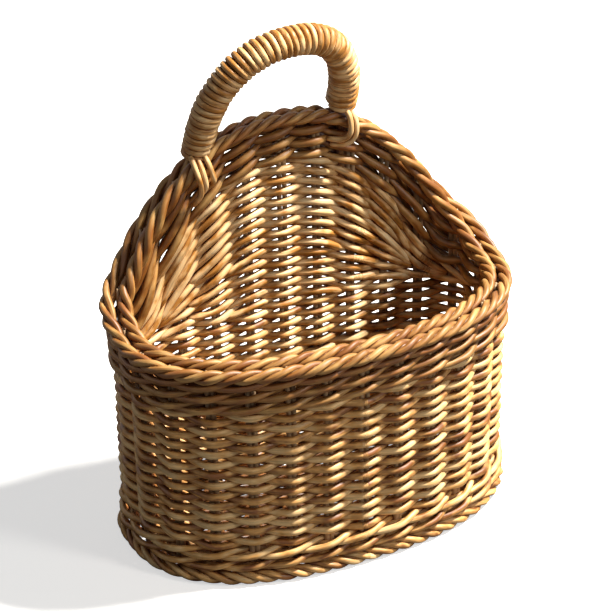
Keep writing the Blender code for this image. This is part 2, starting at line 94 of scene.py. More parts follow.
class BasketSizes(bpy.types.PropertyGroup):
    """Sizes of the basket and its canes"""
    half_width: length("Half width", 0.0922, "Half the width of the wall's middle surface")
    front_depth: length("Front depth", 0.0577, "Depth of the front half of the plan")
    back_depth: length("Back depth", 0.0302, "Depth of the back half of the plan")
    back_reach: length("Back reach", 0.0064, "Distance from the wall's middle surface to the flat back")
    front_roundness: number("Front roundness", 2.4, "Superellipse power of the front")
    back_roundness: number("Back roundness", 3.9, "Superellipse power of the back")
    front_height: length("Front height", 0.1185, "Height of the rim along the front")
    back_height: length("Back height", 0.1966, "Height of the rim at the middle of the back")
    stakes: count_of("Stake pairs", 26, "Number of upright cane pairs")
    stake_cane: length("Stake cane", 0.0026, "Diameter of the stakes' canes")
    weaver: length("Weaver", 0.0032, "Diameter of the weaving canes")
    weave_slack: length("Weave slack", 0.0002, "How far the weavers stand off the stakes")
    row_pitch: length("Row pitch", 0.00286, "Height of one row of the plain weave")
    back_pitch: length("Back row pitch", 0.0028, "Height of one row on the high back")
    foot_wale_pitch: length("Foot wale pitch", 0.0058, "Height of one row of the foot's wale")
    border_height: length("Rim border height", 0.006, "Height of the rolled border of the rim")
    rim_gap: length("Rim gap", 0.0008, "Gap between the border and the wale")
    rim_wale_pitch: length("Rim wale pitch", 0.0061, "Height of one row of the rim's wale")
    bow_core: length("Bow core", 0.0085, "Diameter of the bow's core")
    bow_rise: length("Bow rise", 0.0427, "Height of the bow's middle line above its feet")
    bow_lean: length("Bow lean", 0.010, "How far the bow's crown leans forward")
    bow_skew: length("Bow skew", 0.0055, "How far the crown stands to the right of the middle of the feet")
    bow_roundness: number("Bow roundness", 2.3, "Superellipse power of the bow")
    bow_right_stake: count_of("Right leg", 11, "Stake pair beside the right leg")
    bow_left_stake: count_of("Left leg", 15, "Stake pair beside the left leg")
    bow_left_drop: length("Left leg drop", 0.008, "How far the wrapping of the left leg goes below its foot")
    wrap_turns: count_of("Wrap turns", 46, "Turns of cane wound round the bow")


class BasketColours(bpy.types.PropertyGroup):
    """Colours of the cane and the studio"""
    cane_light: colour("Light cane", "#EDC78C", "Pale heart of the cane")
    cane_mid: colour("Cane", "#D6A15C", "Usual colour of the cane")
    cane_dark: colour("Dark cane", "#85501C", "Darker stains and fibres")
    stake_tint: colour("Stakes", "#97612C", "Usual colour of the stakes")
    rim_light: colour("Pale rim cane", "#C09558", "Pale heart of the rim's canes")
    rim_mid: colour("Rim cane", "#9E6D33", "Usual colour of the rim's canes")
    # On the high back these pale colours are painted light: they make its rows paler than the level rows,
    # standing for the light on the inside of the back.
    pale_light: colour("Pale light cane", "#F3D5A3", "Pale heart of the canes of the bow and high back")
    pale_mid: colour("Pale cane", "#EBC084", "Usual colour of the canes of the bow and high back")
    pale_dark: colour("Pale cane shade", "#B0762F", "Darker stains of the canes of the bow and high back")
    # Painted shade: the canes of the basket's floor get these dark colours to stand for the shade that falls
    # inside the basket.
    base_painted_shade_mid: colour("Base cane", "#6A431D", "Usual colour of the canes of the basket's floor")
    base_painted_shade_dark: colour("Base shade", "#43260E", "Darker stains of the canes of the basket's floor")
    floor: colour("Floor", "#F4F4F2", "Pale studio floor")


# The wall as a surface: a share of the way round, a reach out of the middle surface, and a height.
RISE_WAY_SHARES = (0.0, 0.45, 0.54, 0.62, 0.71, 0.80, 0.90, 1.0)
RISE_SHARES = (0.0, 0.0, 0.045, 0.209, 0.558, 0.818, 0.964, 1.0)
WALE_ROWS = 3
FOOT_WALE_ROWS = 2
# Half the length on which slopes are measured, in stakes.
SLOPE_STEP = 0.25


class Wall:
    """Places on the basket's wall, worked out from its sizes."""

    def __init__(self, sizes):
        self.sizes = sizes
        turn = np.linspace(0, 1, PLAN_SAMPLES + 1) * math.tau - math.pi / 2
        across, along = np.cos(turn), np.sin(turn)
        front = along < 0
        power = 2 / np.where(front, sizes.front_roundness, sizes.back_roundness)
        depth = np.where(front, sizes.front_depth, sizes.back_depth)
        self.shift = BACK_PLANE - sizes.back_reach - sizes.back_depth
        x = np.sign(across) * np.abs(across) ** power * sizes.half_width
        y = np.sign(along) * np.abs(along) ** power * depth + self.shift
        self.plan = np.stack([x, y], 1)
        steps = np.linalg.norm(np.diff(self.plan, axis=0), axis=1)
        self.lengths = np.concatenate([[0], np.cumsum(steps)])
        self.perimeter = self.lengths[-1]

    def at(self, share):
        """Plan of the middle surface at a share of the way round."""
        run = np.mod(share, 1) * self.perimeter
        return np.stack([np.interp(run, self.lengths, self.plan[:, i]) for i in (0, 1)], -1)

    def normal(self, share):
        """Way out of the wall, level with the floor."""
        step = SLOPE_STEP / self.sizes.stakes
        ahead = self.at(share + step) - self.at(share - step)
        ahead /= np.linalg.norm(ahead, axis=-1, keepdims=True)
        return np.stack([ahead[..., 1], -ahead[..., 0]], -1)

    def rim(self, share):
        """Height of the rim's top: a smooth curve through the rise table."""
        way = 1 - np.abs(2 * np.mod(share, 1) - 1)
        knots, values = np.array(RISE_WAY_SHARES), np.array(RISE_SHARES)
        slopes = np.zeros(len(knots))
        slopes[2:-1] = (values[3:] - values[1:-2]) / (knots[3:] - knots[1:-2])
        i = np.clip(np.searchsorted(knots, way, side="right") - 1, 0, len(knots) - 2)
        span = knots[i + 1] - knots[i]
        p = (way - knots[i]) / span
        rise = values[i] * (1 + 2 * p) * (1 - p) ** 2 + values[i + 1] * (3 - 2 * p) * p ** 2
        rise += slopes[i] * span * p * (1 - p) ** 2 - slopes[i + 1] * span * p ** 2 * (1 - p)
        return self.sizes.front_height + (self.sizes.back_height - self.sizes.front_height) * rise

    def steepness(self, share):
        """How much longer a band is upright than square across, where the rim slopes."""
        step = SLOPE_STEP / self.sizes.stakes
        slope = (self.rim(share + step) - self.rim(share - step)) / (2 * step * self.perimeter)
        return np.sqrt(1 + slope ** 2)

    def points(self, share, reach, height, keep=0.0):
        """Points beside the middle surface; none goes further back than the flat back allows."""
        flat = self.at(share) + self.normal(share) * np.asarray(reach)[..., None]
        y = np.minimum(flat[..., 1], BACK_PLANE - keep)
        return np.stack([flat[..., 0], y, np.broadcast_to(height, y.shape)], -1)

    def wale_bottom(self, share):
        """Height at which the rim's wale begins."""
        band = self.sizes.border_height + self.sizes.rim_gap + WALE_ROWS * self.sizes.rim_wale_pitch
        return self.rim(share) - band * self.steepness(share)


def through(values, at, closed):
    """Smooth curve through evenly spaced values, read at places counted in values."""
    values = np.asarray(values, float)
    count = len(values)
    i = np.floor(at).astype(int)
    f = at - i

    def pick(k):
        return values[np.mod(k, count) if closed else np.clip(k, 0, count - 1)]

    a, b, c, d = pick(i - 1), pick(i), pick(i + 1), pick(i + 2)
    if values.ndim > 1:
        f = f[..., None]
    return b + 0.5 * f * (c - a + f * (2 * a - 5 * b + 4 * c - d + f * (3 * (b - c) + d - a)))


def wobble(rng, at, period, strength):
    """A slow random drift that closes after a whole number of periods."""
    values = rng.normal(0, strength, max(int(period), 2))
    return through(values, at, True)


# Canes: a tube along each strand, with the place in the straightened cane kept on every vertex.
# Each cane starts at its own place along the noise of its material, within this many metres.
NOISE_RUN = 40
PLAIN_SIDES = 8
FINE_SIDES = 10
WELD_DISTANCE = 1e-7
# Widths of the last two points of an open cane, as shares of its full width.
END_WIDTHS = (0.45, 0.88)


def cane_mesh(name, strands, diameter, sides=PLAIN_SIDES):
    """Round canes as one mesh. Each strand is (points, closed, widths or None)."""
    curve = bpy.data.curves.new(name, "CURVE")
    curve.dimensions = "3D"
    curve.bevel_depth = diameter / 2
    curve.bevel_resolution = (sides - 4) // 2
    curve.use_fill_caps = True
    for points, closed, widths in strands:
        spline = curve.splines.new("POLY")
        spline.points.add(len(points) - 1)
        spline.points.foreach_set("co", np.column_stack([points, np.ones(len(points))]).ravel())
        if widths is not None:
            spline.points.foreach_set("radius", widths)
        spline.use_cyclic_u = closed
    holder = bpy.data.objects.new(name, curve)
    bpy.context.scene.collection.objects.link(holder)
    graph = bpy.context.evaluated_depsgraph_get()
    mesh = bpy.data.meshes.new_from_object(holder.evaluated_get(graph))
    bpy.data.objects.remove(holder)
    bpy.data.curves.remove(curve)
    mark_canes(mesh, strands, diameter, sides)
    return mesh


def mark_canes(mesh, strands, diameter, sides):
    """Write where each vertex sits in its straightened cane, and a tone for each cane."""
    rng = np.random.default_rng(len(strands) * 7 + sides)
    ring = np.arange(sides) / sides * math.tau
    around = np.stack([np.cos(ring), np.sin(ring)], 1) * diameter / 2
    places, tones = [], []
    for points, _closed, _widths in strands:
        steps = np.linalg.norm(np.diff(points, axis=0), axis=1)
        along = np.concatenate([[0], np.cumsum(steps)]) + rng.uniform(0, NOISE_RUN)
        place = np.concatenate([np.tile(around, (len(points), 1)), np.repeat(along, sides)[:, None]], 1)
        places.append(place)
        tones.append(np.full(len(place), rng.uniform()))
    caps = [i for i in range(len(strands)) if not strands[i][1]][::-1]
    cap_places = [part for i in caps for part in (places[i][-sides:], places[i][:sides])]
    cap_tones = [part for i in caps for part in (tones[i][-sides:], tones[i][:sides])]
    place = np.concatenate(cap_places + places).astype(np.float32)
    tone = np.concatenate(cap_tones + tones).astype(np.float32)
    mesh.attributes.new("cane_place", "FLOAT_VECTOR", "POINT").data.foreach_set("vector", place.ravel())
    mesh.attributes.new("cane_tone", "FLOAT", "POINT").data.foreach_set("value", tone)


def finish_piece(name, mesh, material, nodes):
    """Weld the ends of the canes, smooth them, and put the piece on its body."""
    shell = bmesh.new()
    shell.from_mesh(mesh)
    bmesh.ops.remove_doubles(shell, verts=shell.verts, dist=WELD_DISTANCE)
    bmesh.ops.recalc_face_normals(shell, faces=shell.faces)
    shell.to_mesh(mesh)
    shell.free()
    mesh.shade_smooth()
    mesh.materials.clear()
    mesh.materials.append(material)
    piece = bpy.data.objects.new(name, mesh)
    bpy.context.scene.collection.objects.link(piece)
    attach(piece, BODY)
    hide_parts(*nodes)
    return piece


def blunt_ends(count):
    """Widths along a strand that is open at both ends, rounded off at each end."""
    widths = np.ones(count)
    widths[[0, -1]] = END_WIDTHS[0]
    widths[[1, -2]] = END_WIDTHS[1]
    return widths


# Weaves.
SWING_SQUARENESS = 0.88
# Random drift: of swings and twists as shares of them, of rows in metres, and of a rope's turn in radians.
WEAVE_DRIFT = 0.06
WALE_DRIFT = 0.05
ROW_DRIFT = 0.00012
TURN_DRIFT = 0.12


def weave_swing(at):
    """In and out of the stakes: 1 at a stake in front of it, and -1 behind the next."""
    return np.arcsin(SWING_SQUARENESS * np.cos(math.pi * at)) / math.asin(SWING_SQUARENESS)


def weave_reach(sizes):
    """How far a weaver's middle line swings out at a stake."""
    return (sizes.stake_cane + sizes.weaver) / 2 + sizes.weave_slack


# The lowest rows are wider at the back by this share of a weaver, which fades out over the topmost of them.
LOW_ROWS = 18
LOW_FADE_ROWS = 4
LOW_BACK_SWELL = 0.55
# Width of the level rows in weavers, and the share of the full swing that they keep.
LEVEL_FULLNESS = 1.12
LEVEL_SWING = 0.98


def plain_rows(wall, rows, bottom, pitch, rng):
    """Closed rows of plain weave on the level part of the wall."""
    sizes = wall.sizes
    count = sizes.stakes * STEPS_PER_STAKE
    at = np.arange(count) / STEPS_PER_STAKE
    swing = weave_reach(sizes) * LEVEL_SWING
    strands = []
    for row in range(rows):
        reach = weave_swing(at + row) * swing * (1 + wobble(rng, at, sizes.stakes, WEAVE_DRIFT))
        height = bottom + (row + 0.5) * pitch + wobble(rng, at / 2, sizes.stakes // 2, ROW_DRIFT)
        low = np.clip((LOW_ROWS - row) / LOW_FADE_ROWS, 0, 1)
        # Full over the middle quarter of the way round, which is the back, and none on the front half.
        behind = np.clip(2 - 8 * np.abs(at / sizes.stakes - 0.5), 0, 1)
        widths = LEVEL_FULLNESS + LOW_BACK_SWELL * low * behind
        strands.append((wall.points(at / sizes.stakes, reach, height), True, widths))
    return strands


# A wale's cane lies wider where it passes inside a stake.
# The tables follow it over two stakes and behind one, in half stakes.
WALE_INNER_SWELL = 0.35
WALE_REACHES = (0.0016, 0.0042, 0.0050, 0.0018, -0.0031, -0.0020)
WALE_LIFTS = (-0.0014, -0.0008, 0.0004, 0.0016, 0.0002, -0.0016)


def wale_rows(wall, rows, pitch, bottom_at, rng):
    """Rows of three-rod wale: each cane goes over two stakes and behind one."""
    sizes = wall.sizes
    laps = len(WALE_REACHES) // 2
    count = sizes.stakes * laps * STEPS_PER_STAKE
    at = np.arange(count) / STEPS_PER_STAKE
    strands = []
    for row in range(rows):
        beat = np.mod(at + row, laps) * 2
        share = at / sizes.stakes
        steep = wall.steepness(share) if bottom_at is None else 1
        base = wall.wale_bottom(share) if bottom_at is None else bottom_at
        reach = through(WALE_REACHES, beat, True) * (1 + wobble(rng, at, sizes.stakes * laps, WALE_DRIFT))
        lift = (row + 0.5) * pitch + through(WALE_LIFTS, beat, True)
        height = base + lift * steep + wobble(rng, at, sizes.stakes * laps, ROW_DRIFT)
        inside = 1 + WALE_INNER_SWELL * np.clip(-reach / sizes.weaver, 0, 1)
        strands.append((wall.points(share, reach, height, sizes.weaver / 2), True, inside))
    return strands


def back_room(wall, share):
    """Free height between the level weave and the rim's wale on the high back."""
    return np.maximum(wall.wale_bottom(share) - wall.wale_bottom(0.0), 0.0)


# Width of the rows of the high back in weavers: they are beaten down harder, and swing out less.
BACK_FULLNESS = 1.17
BACK_SWING = 0.8
# Pairs end in the lower part of the high back, so that the upper ones stay parallel to the rim.
ENDING_PART = 0.62
# Steps of this share spread the pairs that end evenly over that part.
GOLDEN_SHARE = 0.618
# How far a pair's cane runs past its last stake before it turns back, in stakes, and the points of the turn.
LOOP_REACH = 0.8
LOOP_POINTS = 9
# A pair starts where more than this share of its room is free.
PAIR_ROUNDING = 0.3


def keeping_order(count):
    """The numbers below count, ordered so that any first few are the pairs that run furthest."""
    present = list(range(int(count)))
    order = []
    while present:
        share = (GOLDEN_SHARE * len(order)) % 1 * ENDING_PART
        order.append(present.pop(int(share * len(present))))
    return order[::-1]


def back_rows(wall, rng):
    """Pairs of rows on the high back; they turn back one by one, so that the rest fan out of the corners."""
    sizes = wall.sizes
    stakes = np.arange(sizes.stakes)
    room = back_room(wall, stakes / sizes.stakes)
    pairs_at = np.ceil(room / (2 * sizes.back_pitch) - PAIR_ROUNDING).astype(int)
    middle = sizes.stakes // 2
    pairs_at[middle] = max(pairs_at[middle - 1], pairs_at[middle + 1])
    order = keeping_order(pairs_at[middle])
    heights = np.zeros((sizes.stakes, len(order), 2))
    here = np.zeros((sizes.stakes, len(order)), bool)
    for stake in stakes:
        kept = order[:pairs_at[stake]]
        # A pair has two rows, so its room is four half rows.
        step = room[stake] / max(4 * len(kept), 1)
        here[stake, kept] = True
        below = np.cumsum(here[stake]) - here[stake]
        for side in (0, 1):
            heights[stake, :, side] = step * (4 * below + (1 + 2 * side) * here[stake])
    heights += wall.wale_bottom(0.0)
    strands = []
    for pair in range(len(order)):
        passed = stakes[here[:, pair]]
        if len(passed) > 1:
            span = heights[passed[0] - 1:passed[-1] + 2, pair]
            strands.append((pair_loop(wall, passed[0], span, rng), True, None))
    return strands


def pair_loop(wall, first, heights, rng):
    """Two rows made of one cane that turns back past the first and the last stake."""
    sizes = wall.sizes
    swing = weave_reach(sizes)
    count = (len(heights) - 3) * STEPS_PER_STAKE
    bend = np.linspace(0, math.pi, LOOP_POINTS)[1:-1]
    level = np.concatenate([np.ones(count + 1), np.cos(bend), -np.ones(count + 1), -np.cos(bend)])
    run = np.arange(count + 1) / STEPS_PER_STAKE
    path = np.concatenate([run, run[-1] + LOOP_REACH * np.sin(bend), run[::-1], -LOOP_REACH * np.sin(bend)])
    side = weave_swing(first + np.clip(path, 0, run[-1])) * level
    low, top = through(heights, path + 1, False).T
    height = low + (top - low) * (1 - level) / 2
    drift = wobble(rng, np.arange(len(path)) / STEPS_PER_STAKE, len(path) // STEPS_PER_STAKE, WALE_DRIFT)
    return wall.points((first + path) / sizes.stakes, side * swing * BACK_SWING * (1 + drift), height)


# Twisted borders: each is a rope of three plies round a straight cane.
ROPE_PLIES = 3
ROPE_TURNS = 18
ROPE_STEPS = 12
# Reach and drop of each rope's middle line, half the width and height of its twist, and its lay.
OUTER_ROPE = (0.0040, 0.0045, 0.0019, 0.0018, 1)
INNER_ROPE = (-0.0035, 0.0035, 0.0019, 0.0018, 1)
FOOT_ROPE = (0.0033, -0.0036, 0.0020, 0.0019, -1)
# Where the rim slopes, its ropes stand further off the wall and are thicker.
SLOPE_REACH = 0.0018
SLOPE_SWELL = 0.25


def rope_strands(wall, rope, edge_at, rng):
    """The plies that twist round each other, and the straight cane in their middle."""
    sizes = wall.sizes
    reach, drop, half_width, half_height, lay = rope
    at = np.arange(sizes.stakes * ROPE_STEPS) / ROPE_STEPS
    share = at / sizes.stakes
    edge = wall.rim(share) if edge_at is None else np.full(len(at), edge_at)
    steep = wall.steepness(share) if edge_at is None else np.ones(len(at))
    swell = 1 + SLOPE_SWELL * (steep - 1)
    reaches = reach + np.sign(reach) * SLOPE_REACH * (steep - 1)
    line = wall.points(share, reaches, edge - drop * steep)
    ahead = np.roll(line, -1, 0) - np.roll(line, 1, 0)
    ahead /= np.linalg.norm(ahead, axis=1, keepdims=True)
    outward = np.column_stack([wall.normal(share), np.zeros(len(at))])
    up = np.cross(outward, ahead)
    drift = wobble(rng, at, sizes.stakes, TURN_DRIFT)
    strands = [(line, True, None)]
    for ply in range(ROPE_PLIES):
        turn = math.tau * (share * ROPE_TURNS * lay + ply / ROPE_PLIES) + drift
        wide = half_width * np.cos(turn) * (1 + wobble(rng, at, 2 * sizes.stakes, WEAVE_DRIFT))
        high = half_height * np.sin(turn) * (1 + wobble(rng, at, 2 * sizes.stakes, WEAVE_DRIFT))
        points = line + outward * (wide * swell)[:, None] + up * (high * swell)[:, None]
        points[:, 1] = np.minimum(points[:, 1], BACK_PLANE - sizes.weaver / 2)
        strands.append((points, True, swell))
    return strands


# The stakes: their lower ends, how far below the rim they end in border heights, and half the distance
# between the two canes of a pair in diameters.
STAKE_FOOT = 0.0025
STAKE_END_SHARE = 0.6
STAKE_GAP_SHARE = 0.46
STAKE_POINTS = 24
STAKE_BENDS = 6
STAKE_SWAY = 0.0002


def stake_strands(wall, rng):
    """The upright canes, two to each stake, from the foot to the border."""
    sizes = wall.sizes
    strands = []
    for stake in range(sizes.stakes):
        share = stake / sizes.stakes
        top = float(wall.rim(np.array(share))) - STAKE_END_SHARE * sizes.border_height
        rise = np.linspace(STAKE_FOOT, top, STAKE_POINTS)
        bends = np.linspace(0, STAKE_BENDS - 1, STAKE_POINTS)
        for side in (-1, 1):
            across = side * STAKE_GAP_SHARE * sizes.stake_cane / wall.perimeter
            sway = wobble(rng, bends, STAKE_BENDS, STAKE_SWAY) / wall.perimeter
            points = wall.points(share + across + sway, np.zeros(STAKE_POINTS), rise)
            strands.append((points, False, blunt_ends(STAKE_POINTS)))
    return strands


# The basket's floor: how far inside the wall's middle surface it ends, its height, and its canes.
FLOOR_MARGIN = 0.0022
FLOOR_LEVEL = 0.0034
FLOOR_CANE = 0.0024
STICKS_EACH_SIDE = 4
STICK_PITCH = 0.0187
STICK_HALF_GAP = 0.0012
STICK_POINTS = 9
FLOOR_ROW_PITCH = 0.0026
FLOOR_ROW_SWING = 0.0016
FLOOR_ROW_STEP = 0.0012
FLOOR_ROW_LEAST_POINTS = 6
FLOOR_FRONT_EDGE = 0.003
FLOOR_BACK_EDGE = 0.0005


def round_share(share, power):
    """How far a superellipse reaches one way, at a share of its reach the other way."""
    return (1 - min(abs(share), 1) ** power) ** (1 / power)


def floor_strands(wall):
    """The woven floor: sticks from front to back, and canes woven across them."""
    sizes = wall.sizes
    half_width = sizes.half_width - FLOOR_MARGIN
    front_half = (sizes.front_depth - FLOOR_MARGIN, sizes.front_roundness)
    back_half = (sizes.back_depth - FLOOR_MARGIN, sizes.back_roundness)
    strands = []
    for x in np.arange(-STICKS_EACH_SIDE, STICKS_EACH_SIDE + 1) * STICK_PITCH:
        front, back = (depth * round_share(x / half_width, power)
                       for depth, power in (front_half, back_half))
        y = np.linspace(wall.shift - front, wall.shift + back, STICK_POINTS)
        for side in (-1, 1):
            across = np.full(STICK_POINTS, x + side * STICK_HALF_GAP)
            points = np.stack([across, y, np.full(STICK_POINTS, FLOOR_LEVEL)], 1)
            strands.append((points, False, blunt_ends(STICK_POINTS)))
    first = wall.shift - front_half[0] + FLOOR_FRONT_EDGE
    rows = np.arange(first, wall.shift + back_half[0] - FLOOR_BACK_EDGE, FLOOR_ROW_PITCH)
    for row, y in enumerate(rows):
        depth, power = front_half if y < wall.shift else back_half
        reach = half_width * round_share((y - wall.shift) / depth, power)
        x = np.linspace(-reach, reach, max(int(reach / FLOOR_ROW_STEP), FLOOR_ROW_LEAST_POINTS))
        z = FLOOR_LEVEL + weave_swing(x / STICK_PITCH + row) * FLOOR_ROW_SWING
        points = np.stack([x, np.full(len(x), y), z], 1)
        strands.append((points, False, blunt_ends(len(x))))
    return strands


# The bow: the gap between a leg and its stake pair, and the points below the left foot.
LEG_GAP = 0.0023
DROP_STEPS = 200


class Bow:
    """The bow's middle line, from the left foot over the crown to the right foot."""

    def __init__(self, wall):
        sizes = wall.sizes
        leg_past_stake = (sizes.stake_cane + LEG_GAP) / wall.perimeter
        self.leg_shares = [stake / sizes.stakes + leg_past_stake
                           for stake in (sizes.bow_left_stake, sizes.bow_right_stake)]
        left, right = wall.at(np.array(self.leg_shares))
        outer = (sizes.bow_core / 2 + sizes.weaver) / wall.perimeter
        heights = [wall.rim(self.leg_shares[0] - outer), wall.rim(self.leg_shares[1] + outer)]
        low = CORE_TOP - sizes.bow_core / 2 - sizes.bow_rise - np.mean(heights)
        left, right = (np.array([*foot, height + low]) for foot, height in zip((left, right), heights))
        crown = np.array([sizes.bow_skew, -sizes.bow_lean, sizes.bow_rise])
        angle = math.pi * (1 - np.linspace(0, 1, PLAN_SAMPLES + 1))
        power = 2 / sizes.bow_roundness
        across, up = np.cos(angle), np.clip(np.sin(angle), 0, None) ** power
        way = (1 + np.sign(across) * np.abs(across) ** power) / 2
        arch = left + (right - left) * way[:, None] + crown * up[:, None]
        down = np.linspace(sizes.bow_left_drop, 0, DROP_STEPS, endpoint=False)[:, None]
        self.line = np.concatenate([left - crown / np.linalg.norm(crown) * down, arch])
        self.normal = np.cross(crown, right - left)
        self.normal /= np.linalg.norm(self.normal)
        steps = np.linalg.norm(np.diff(self.line, axis=0), axis=1)
        self.lengths = np.concatenate([[0], np.cumsum(steps)])

    def at(self, run):
        """Places at a length along the middle line."""
        return np.stack([np.interp(run, self.lengths, self.line[:, i]) for i in range(3)], -1)


# The wrapping: points in a turn, its gap to the core, its random drift, and half the length on which
# the way that the core takes is measured.
WRAP_POINTS = 16
WRAP_GAP = 0.0001
WRAP_DRIFT = 0.0001
WRAP_STEP = 0.0004


def wrap_strand(wall, rng):
    """The cane that is wound closely round the bow from foot to foot."""
    sizes = wall.sizes
    bow = Bow(wall)
    total = bow.lengths[-1]
    turn = np.arange(sizes.wrap_turns * WRAP_POINTS + 1) / WRAP_POINTS
    pitch = wobble(rng, turn, sizes.wrap_turns, WRAP_DRIFT)
    run = np.clip(total * turn / sizes.wrap_turns + pitch, 0, total)
    centre = bow.at(run)
    ahead = bow.at(np.clip(run + WRAP_STEP, 0, total)) - bow.at(np.clip(run - WRAP_STEP, 0, total))
    ahead /= np.linalg.norm(ahead, axis=1, keepdims=True)
    out = np.cross(bow.normal, ahead)
    angle = math.tau * turn[:, None]
    radius = sizes.bow_core / 2 + WRAP_GAP + sizes.weaver / 2
    radius += wobble(rng, turn, sizes.wrap_turns, WRAP_DRIFT)
    points = centre + (out * np.cos(angle) + bow.normal * np.sin(angle)) * radius[:, None]
    return [(points, False, blunt_ends(len(points)))]


# Lashings: smoothing steps for each place, and the places: along the rim from the middle of a leg, reach,
# and drop below the rim's top.
ROUTE_STEPS = 5
RIGHT_LASHING = (((0.0022, -0.0030, -0.0030), (0.0036, -0.0082, -0.0006), (0.0040, -0.0096, 0.0060),
                  (0.0022, -0.0084, 0.0120), (-0.0020, -0.0062, 0.0160), (-0.0070, -0.0030, 0.0176)),
                 ((-0.0006, -0.0036, -0.0030), (0.0008, -0.0084, -0.0006), (0.0010, -0.0100, 0.0060),
                  (-0.0004, -0.0090, 0.0106), (-0.0040, -0.0066, 0.0136), (-0.0086, -0.0030, 0.0150)))
LEFT_LASHING = (((-0.0060, -0.0030, -0.0030), (-0.0060, -0.0076, 0.0010), (-0.0050, -0.0094, 0.0070),
                 (-0.0036, -0.0092, 0.0130), (-0.0040, -0.0078, 0.0180), (-0.0066, -0.0040, 0.0220)),
                ((-0.0030, -0.0030, 0.0000), (-0.0028, -0.0080, 0.0040), (-0.0020, -0.0096, 0.0100),
                 (-0.0014, -0.0088, 0.0150), (-0.0022, -0.0050, 0.0190)),
                ((0.0000, -0.0030, 0.0000), (0.0006, -0.0080, 0.0040), (0.0018, -0.0096, 0.0100),
                 (0.0026, -0.0090, 0.0150), (0.0010, -0.0055, 0.0180), (-0.0020, -0.0030, 0.0190)))


def lashing_strands(wall, leg_share, routes):
    """Canes that come out of the wrapping, go down over the border inside, and are tucked into the wale."""
    sizes = wall.sizes
    strands = []
    for route in routes:
        places = through(np.array(route), np.linspace(0, len(route) - 1, ROUTE_STEPS * len(route)), False)
        share = leg_share - places[:, 0] / wall.perimeter
        points = wall.points(share, places[:, 1], wall.rim(share) - places[:, 2], sizes.weaver / 2)
        strands.append((points, False, blunt_ends(len(points))))
    return strands


# Materials.
def add_node(tree, kind, links=None, **settings):
    """Add one node with its settings, and link its inputs."""
    node = tree.nodes.new(kind)
    for key, value in settings.items():
        if key.startswith("in_"):
            node.inputs[key[3:].replace("_", " ")].default_value = value
        else:
            setattr(node, key, value)
    for key, socket in (links or {}).items():
        tree.links.new(socket, node.inputs[key])
    return node


def new_material(name):
    """An empty node material and its tree."""
    material = bpy.data.materials.new(name)
    material.use_nodes = True
    material.node_tree.nodes.clear()
    return material, material.node_tree


def stretched_noise(tree, place, scale, detail):
    """Noise with its own scale across and along the cane."""
    where = add_node(tree, "ShaderNodeMapping", {"Vector": place}, in_Scale=scale).outputs[0]
    noise = add_node(tree, "ShaderNodeTexNoise", {"Vector": where}, in_Scale=1.0, in_Detail=detail)
    return noise.outputs["Fac"]


def spread(tree, value, seen, shown):
    """A value moved from the span that it is seen in to the span that is shown."""
    return add_node(tree, "ShaderNodeMapRange", {"Value": value}, in_From_Min=seen[0], in_From_Max=seen[1],
                    in_To_Min=shown[0], in_To_Max=shown[1]).outputs[0]


# Fibres about 0.5 mm wide and 20 mm long, drawn coarser than real ones so that they show.
FIBRE_SCALE = (900, 900, 60)
FIBRE_SEEN = (0.34, 0.66)
FIBRE_SHADES = (0.72, 1.2)
# Stains 5 to 15 mm long where the cane was bent and the varnish went deeper: dark, usual and light places.
STAIN_SCALE = (260, 260, 110)
STAIN_STOPS = (0.30, 0.48, 0.68)
# How much lighter or darker one cane is than the next.
TONE_SHARE = 0.28
# Painted shade where two canes touch: a deep brown multiplied in where ambient occlusion finds crevices of a
# few millimetres.
PAINTED_SHADE_REACH = 0.004
PAINTED_SHADE_SEEN = (0.15, 0.68)
PAINTED_SHADE_TINT = "#8A4E14"
NO_TINT = "#FFFFFF"
# Worn varnish: stains are smoother than bare cane, and the fibres stand up by a fraction of a millimetre.
ROUGHNESS = (0.38, 0.58)
GRAIN_STRENGTH = 0.6
GRAIN_DEPTH = 0.0004
VARNISH_IOR = 1.5
# Noise that stands for each cane's tone on a piece that isn't made of strands.
PIECE_TONE_SCALE = 20.0


